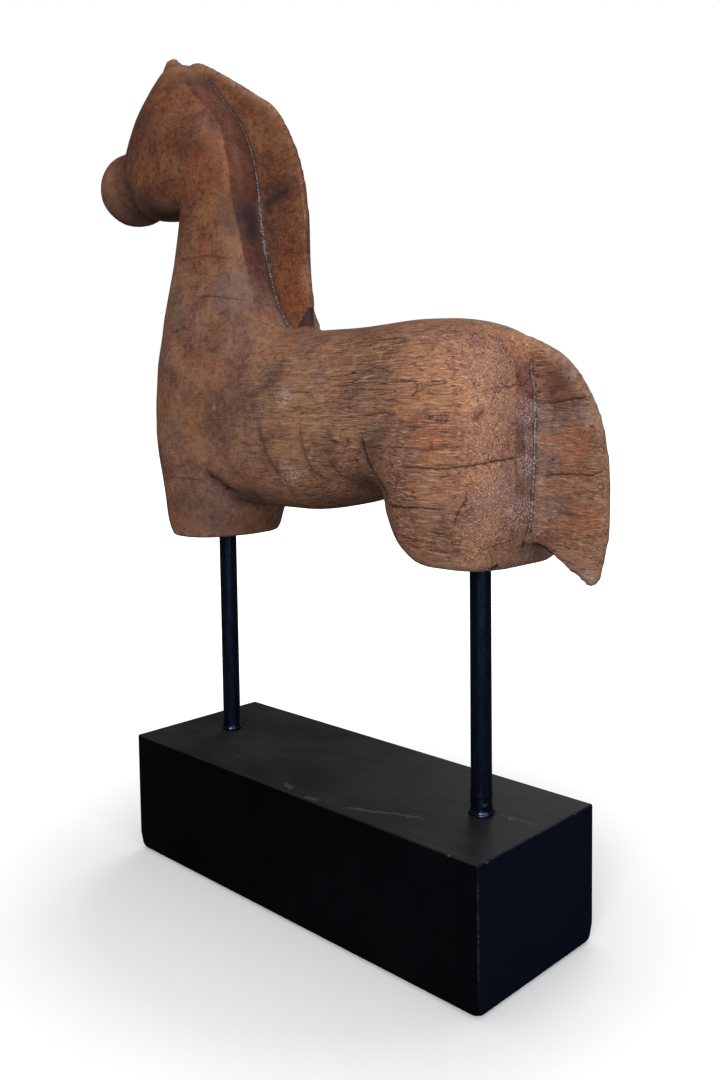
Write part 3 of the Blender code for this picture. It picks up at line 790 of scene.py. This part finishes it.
# The upright edges are rounded this much at the top and at the foot
UPRIGHT_ROUND = (0.9, 4.0)
BLOCK_CUTS = [
    ("paint crack", [
        (31, -31, BLOCK_TOP), (38, -29, BLOCK_TOP), (44, -26.5, BLOCK_TOP), (51, -22.5, BLOCK_TOP),
        (66, -17, BLOCK_TOP),
    ]),
    ("paint crack", [(80, 4, BLOCK_TOP), (88, 4.5, BLOCK_TOP), (97, 6, BLOCK_TOP)]),
    ("paint crack", [(-3, -29.6, BLOCK_TOP), (0, -31, BLOCK_TOP), (4, -32.5, BLOCK_TOP)]),
    ("paint crack", [(14, -34.5, BLOCK_TOP), (20, -33, BLOCK_TOP)]),
    ("paint chip", [(87, -36, BLOCK_TOP), (88, -36, BLOCK_TOP)]),
    ("paint chip", [(100, -31.5, BLOCK_TOP), (100, -30.5, BLOCK_TOP)]),
    ("paint chip", [(100, 24, BLOCK_TOP), (100, 24.6, BLOCK_TOP)]),
    ("rubbed paint", [(99.7, -35.7, 53), (99.7, -35.7, 40), (99.7, -35.7, 24), (99.5, -35.5, 8)]),
    ("rubbed paint", [(100, -34, BLOCK_TOP), (100, -10, BLOCK_TOP), (100, 20, BLOCK_TOP)]),
]
CUT_KINDS["paint crack"] = CutKind(0.36, 0.3, 0.4, 0.3, 0.6, 1.0, 0.9, 1.0, 0.0)
CUT_KINDS["paint chip"] = CutKind(0.9, 0.6, 0.1, 0.2, 0.5, 1.0, 0.0, 0.7, 0.0)
CUT_KINDS["rubbed paint"] = CutKind(0.3, 0.0, 0.0, 0.05, 0.3, 1.0, 0.0, 0.27, 0.0)


def sliced(mesh, axis, places):
    """Cuts a mesh's faces along flat planes across one axis, for small even faces."""
    bm = bmesh.new()
    bm.from_mesh(mesh)
    normal = [0, 0, 0]
    normal[axis] = 1
    for place in places:
        point = [0, 0, 0]
        point[axis] = place
        parts = bm.verts[:] + bm.edges[:] + bm.faces[:]
        bmesh.ops.bisect_plane(bm, geom=parts, plane_co=point, plane_no=normal, dist=0.00001)
    bm.to_mesh(mesh)
    bm.free()


block = closed_copy("block", "painted_block")
corners = np.array(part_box("block"))
near_edge = np.array(EDGE_SLICES) / 1000
for axis in range(3):
    low, high = corners[0][axis], corners[1][axis]
    steps = np.linspace(low, high, round((high - low) * 1000 / BLOCK_SLICE) + 1)[1:-1]
    sliced(block.data, axis, sorted([*steps, *(low + near_edge), *(high - near_edge)]))

# The upright edges are planed round
place, facing = read_points(block.data)
round_here = np.interp(place[:, 2], (0.001, 0.008), UPRIGHT_ROUND[::-1]) / 1000
inner = (corners[1] - corners[0])[:2] / 2 - round_here[:, None]
out = np.maximum(np.abs(place[:, :2] - corners.mean(axis=0)[:2]) - inner, 0)
length = np.linalg.norm(out, axis=1)
widest = np.maximum(out.max(axis=1), 1e-9)
pull = np.where((out > 0).all(axis=1), widest / np.maximum(length, 1e-9), 1)
place[:, :2] -= np.sign(place[:, :2]) * out * (1 - pull)[:, None]
write_points(block.data, place)
layers = cut_in(block.data, BLOCK_CUTS, (2.6, 1.6, 0.8))[1]
add_layers(block.data, layers)
block.data.shade_smooth()
block.data.set_sharp_from_angle(angle=math.radians(SHARP_CORNER))

# The paint's blacks: on the sides, on the top lightened as painted light from above, on the end
# blued and lightened as painted light, and in dust and cracks
DEEP_BLACK, WORN_BLACK = (0.0008, 0.0010, 0.0019, 1), (0.0022, 0.0026, 0.0036, 1)
LIT_TOP_BLACK, LIT_TOP_GREY = (0.0190, 0.0200, 0.0200, 1), (0.0268, 0.0280, 0.0276, 1)
LIT_END_BLUE = (0.0030, 0.0047, 0.0102, 1)
PAINT_DUST, CRACK_BLACK = (0.125, 0.116, 0.108, 1), (0.0004, 0.0004, 0.0004, 1)

paint, tree, shader = new_material("matte_black_paint")
space = add_node(tree, "ShaderNodeTexCoord").outputs["Object"]
cloud = noise(tree, space, 22, 4)
stipple = noise(tree, space, 1400, 3)
brushed = noise(tree, stretched(tree, space, (0.12, 1, 1)), 420, 3)
black = over(tree, between(tree, cloud, 0.35, 0.65), DEEP_BLACK, WORN_BLACK)
along = add_node(tree, "ShaderNodeSeparateXYZ", {0: space}).outputs
# The top is lighter than the sides as painted light from above, streaked like brushing
top_face = between(tree, along[2], (BLOCK_TOP - 0.6) / 1000, (BLOCK_TOP - 0.1) / 1000)
lit_top = over(tree, between(tree, brushed, 0.35, 0.65), LIT_TOP_BLACK, LIT_TOP_GREY)
lit_top_share = times(tree, top_face, between(tree, cloud, 0.30, 0.62, 0.45, 1.0))
black = over(tree, lit_top_share, black, lit_top)
# The end is bluer and lighter as painted light from the cool side
end_face = between(tree, along[0], (BLOCK_END - 1.0) / 1000, (BLOCK_END - 0.2) / 1000)
black = over(tree, times(tree, end_face, 0.8), black, LIT_END_BLUE)
black = over(tree, ragged(tree, "dust", stipple, 0.2, 0.9, 0.85, 0.8), black, PAINT_DUST)
black = over(tree, stored(tree, "grime"), black, CRACK_BLACK)
tree.links.new(black, shader.inputs["Base Color"])
tree.links.new(between(tree, cloud, 0.3, 0.7, 0.46, 0.60), shader.inputs["Roughness"])
shader.inputs["Specular IOR Level"].default_value = 0.045
height = maths(tree, "ADD", times(tree, stipple, 0.4), brushed)
relief = add_node(tree, "ShaderNodeBump", {"Height": height, "Strength": 0.25, "Distance": 0.0002})
tree.links.new(relief.outputs[0], shader.inputs["Normal"])
block.data.materials.clear()
block.data.materials.append(paint)
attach(block, "root")
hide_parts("block")

# The two rods are straight round steel, brushed with satin black paint that gathered in a collar
# and in lumps above the block. They stand in blind holes in the block and in the leg stumps.
ROD_SIDES = 40
ROD_SLICES = 280
# How high the lumps of paint stand and how far up they reach, in mm, on each rod
PAINT_LUMPS = {"front_rod": (0.15, 5), "rear_rod": (0.8, 15)}
# The same for the collar of paint around each rod's foot, and how fine the dabs of paint are
COLLAR_HEIGHT, COLLAR_REACH = 1.0, 3.0
DAB_SCALE = 430.0


def named_input(tree, name, kind):
    """A named input of a node group."""
    tree.interface.new_socket(name=name, in_out="INPUT", socket_type=kind)


rod_tree = bpy.data.node_groups.new("brushed_rod", "GeometryNodeTree")
rod_tree.interface.new_socket(name="Rod", in_out="OUTPUT", socket_type="NodeSocketGeometry")
for name in ("Foot", "Head"):
    named_input(rod_tree, name, "NodeSocketVector")
for name in ("Radius", "Paint Line", "Lump Height", "Lump Reach", "Collar Height", "Collar Reach"):
    named_input(rod_tree, name, "NodeSocketFloat")
named_input(rod_tree, "Seed", "NodeSocketInt")
named_input(rod_tree, "Paint", "NodeSocketMaterial")
given = rod_tree.nodes.new("NodeGroupInput").outputs
inputs = {"Start": given["Foot"], "End": given["Head"]}
line = add_node(rod_tree, "GeometryNodeCurvePrimitiveLine", inputs)
inputs = {"Curve": line.outputs[0], "Count": ROD_SLICES}
line = add_node(rod_tree, "GeometryNodeResampleCurve", inputs)
inputs = {"Resolution": ROD_SIDES, "Radius": given["Radius"]}
ring = add_node(rod_tree, "GeometryNodeCurvePrimitiveCircle", inputs)
inputs = {"Curve": line.outputs[0], "Profile Curve": ring.outputs[0], "Fill Caps": True}
bar = add_node(rod_tree, "GeometryNodeCurveToMesh", inputs)
where = add_node(rod_tree, "GeometryNodeInputPosition").outputs[0]
height_up = add_node(rod_tree, "ShaderNodeSeparateXYZ", {0: where}).outputs[2]
up = maths(rod_tree, "SUBTRACT", height_up, given["Paint Line"])
inputs = {"Vector": where, "W": given["Seed"], "Scale": DAB_SCALE, "Detail": 2.0}
dabs = add_node(rod_tree, "ShaderNodeTexNoise", inputs, noise_dimensions="4D").outputs[0]
lump = times(rod_tree, between(rod_tree, dabs, 0.45, 0.75), given["Lump Height"])
lump_end = between(rod_tree, maths(rod_tree, "DIVIDE", up, given["Lump Reach"]), 1, 0)
lump = times(rod_tree, lump, lump_end)
collar = between(rod_tree, maths(rod_tree, "DIVIDE", up, given["Collar Reach"]), 1, 0)
collar = times(rod_tree, maths(rod_tree, "POWER", collar, 2.0), given["Collar Height"])
collar = times(rod_tree, collar, between(rod_tree, dabs, 0.3, 0.7, 0.5, 1))
swell = maths(rod_tree, "ADD", lump, collar)
swell = times(rod_tree, swell, between(rod_tree, up, 0, 0.0001))
outward = add_node(rod_tree, "GeometryNodeInputNormal").outputs[0]
inputs = {0: outward, "Scale": swell}
push = add_node(rod_tree, "ShaderNodeVectorMath", inputs, operation="SCALE").outputs[0]
bar = add_node(rod_tree, "GeometryNodeSetPosition", {"Geometry": bar.outputs[0], "Offset": push})
bar = add_node(rod_tree, "GeometryNodeSetShadeSmooth", {"Geometry": bar.outputs[0]})
bar = add_node(rod_tree, "GeometryNodeRealizeInstances", {"Geometry": bar.outputs[0]})
inputs = {"Geometry": bar.outputs[0], "Material": given["Paint"]}
bar = add_node(rod_tree, "GeometryNodeSetMaterial", inputs)
rod_tree.links.new(bar.outputs[0], rod_tree.nodes.new("NodeGroupOutput").inputs[0])

ENAMEL_BLACK, ENAMEL_BLUE = (0.0006, 0.0010, 0.0024, 1), (0.0016, 0.0026, 0.0056, 1)

enamel, tree, shader = new_material("satin_black_enamel")
space = add_node(tree, "ShaderNodeTexCoord").outputs["Object"]
strokes = noise(tree, stretched(tree, space, (1, 1, 0.25)), 520, 3)
ripples = noise(tree, space, 900, 2)
black = over(tree, between(tree, strokes, 0.3, 0.7), ENAMEL_BLACK, ENAMEL_BLUE)
tree.links.new(black, shader.inputs["Base Color"])
tree.links.new(between(tree, strokes, 0.3, 0.7, 0.20, 0.30), shader.inputs["Roughness"])
shader.inputs["Specular IOR Level"].default_value = 0.75
shader.inputs["Specular Tint"].default_value = (0.40, 0.60, 1.0, 1)
relief = add_node(tree, "ShaderNodeBump", {"Height": ripples, "Strength": 1.0, "Distance": 0.00008})
tree.links.new(relief.outputs[0], shader.inputs["Normal"])

for seed, (name, (lump_height, lump_reach)) in enumerate(PAINT_LUMPS.items()):
    low, high = np.array(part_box(name))
    middle = (low + high) / 2
    rod = set_out("painted_" + name, bpy.data.meshes.new("painted_" + name))
    step = rod.modifiers.new("brushed_rod", "NODES")
    step.node_group = rod_tree
    sizes = {
        "Foot": (middle[0], middle[1], low[2]),
        "Head": (middle[0], middle[1], high[2]),
        "Radius": (high[0] - low[0]) / 2,
        "Paint Line": corners[1][2],
        "Lump Height": lump_height / 1000,
        "Lump Reach": lump_reach / 1000,
        "Collar Height": COLLAR_HEIGHT / 1000,
        "Collar Reach": COLLAR_REACH / 1000,
        "Seed": seed + 3,
        "Paint": enamel,
    }
    for socket in rod_tree.interface.items_tree:
        if socket.in_out == "INPUT":
            step[socket.identifier] = sizes[socket.name]
    bake_modifiers(rod)
    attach(rod, "root")
    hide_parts(name)

# A pale floor, a white surround and four large soft lights stand in for the studio
floor_mesh = bpy.data.meshes.new("floor")
bm = bmesh.new()
bmesh.ops.create_circle(bm, cap_ends=True, segments=96, radius=6)
bm.to_mesh(floor_mesh)
bm.free()
floor = set_out("floor", floor_mesh)
# Seen by the camera, the floor glows white beyond the block's soft shadow, a painted glow that
# lights nothing, so it fades into the white surround. Other rays see it darker.
card, tree, shader = new_material("pale_card")
seen = add_node(tree, "ShaderNodeLightPath").outputs["Is Camera Ray"]
glossy_ray = add_node(tree, "ShaderNodeLightPath").outputs["Is Glossy Ray"]
unseen = over(tree, glossy_ray, (0.30, 0.30, 0.30, 1), (0.05, 0.05, 0.05, 1))
card_colour = over(tree, seen, unseen, (0.92, 0.92, 0.92, 1))
tree.links.new(card_colour, shader.inputs["Base Color"])
shader.inputs["Roughness"].default_value = 0.9
shader.inputs["Specular IOR Level"].default_value = 0.0
space = add_node(tree, "ShaderNodeTexCoord").outputs["Object"]
away = add_node(tree, "ShaderNodeVectorMath", {0: space}, operation="LENGTH").outputs["Value"]
glow = times(tree, seen, between(tree, away, 0.10, 0.45, 0.04, 1.0))
shader.inputs["Emission Color"].default_value = (1, 1, 1, 1)
tree.links.new(glow, shader.inputs["Emission Strength"])
floor_mesh.materials.append(card)

surround = bpy.data.worlds.new("surround")
surround.use_nodes = True
tree = surround.node_tree
seen = add_node(tree, "ShaderNodeLightPath").outputs["Is Camera Ray"]
tree.nodes["Background"].inputs["Color"].default_value = (1, 1, 1, 1)
glossy_ray = add_node(tree, "ShaderNodeLightPath").outputs["Is Glossy Ray"]
unseen = between(tree, glossy_ray, 0, 1, 0.34, 0.08)
strength = add_node(tree, "ShaderNodeMapRange", {0: seen, 3: unseen, 4: 1.0}).outputs[0]
tree.links.new(strength, tree.nodes["Background"].inputs["Strength"])
bpy.context.scene.world = surround


def soft_light(name, place, size, power, tint=(1, 1, 1)):
    """A large square light that faces the horse."""
    lamp = bpy.data.lights.new(name, "AREA")
    lamp.shape = "SQUARE"
    lamp.size = size
    lamp.energy = power
    lamp.color = tint
    item = set_out(name, lamp)
    item.location = place
    towards = Vector((0, 0, 0.2)) - Vector(place)
    item.rotation_euler = towards.to_track_quat("-Z", "Y").to_euler()


soft_light("key_light", (0.86, -1.30, 0.75), 0.8, 20)
soft_light("side_light", (1.42, -0.45, 0.6), 1.0, 8, (0.74, 0.87, 1.0))
soft_light("top_light", (0.0, 0.1, 1.7), 1.0, 6)
soft_light("back_light", (-0.6, 1.6, 0.8), 1.0, 7)

# The camera stands off the horse's left haunch, level with its body, and looks forward across it
eye = bpy.data.cameras.new("eye")
eye.lens = 34.22
eye.sensor_width = 36
eye.sensor_fit = "AUTO"
eye.shift_x = 0.0146
eye.shift_y = -0.0613
eye.clip_start = 0.01
camera = set_out("eye", eye)
turn, rise, roll = math.radians(44.898), math.radians(4.166), math.radians(-0.837)
back = Vector((math.sin(turn) * math.cos(rise), -math.cos(turn) * math.cos(rise), math.sin(rise)))
level = Vector((math.cos(turn), math.sin(turn), 0))
upward = back.cross(level)
right = level * math.cos(roll) + upward * math.sin(roll)
upward = upward * math.cos(roll) - level * math.sin(roll)
stance = Matrix((right, upward, back)).transposed().to_4x4()
stance.translation = (0.3038, -0.3010, 0.2104)
camera.matrix_world = stance
bpy.context.scene.camera = camera
bpy.context.scene.view_settings.view_transform = "Standard"
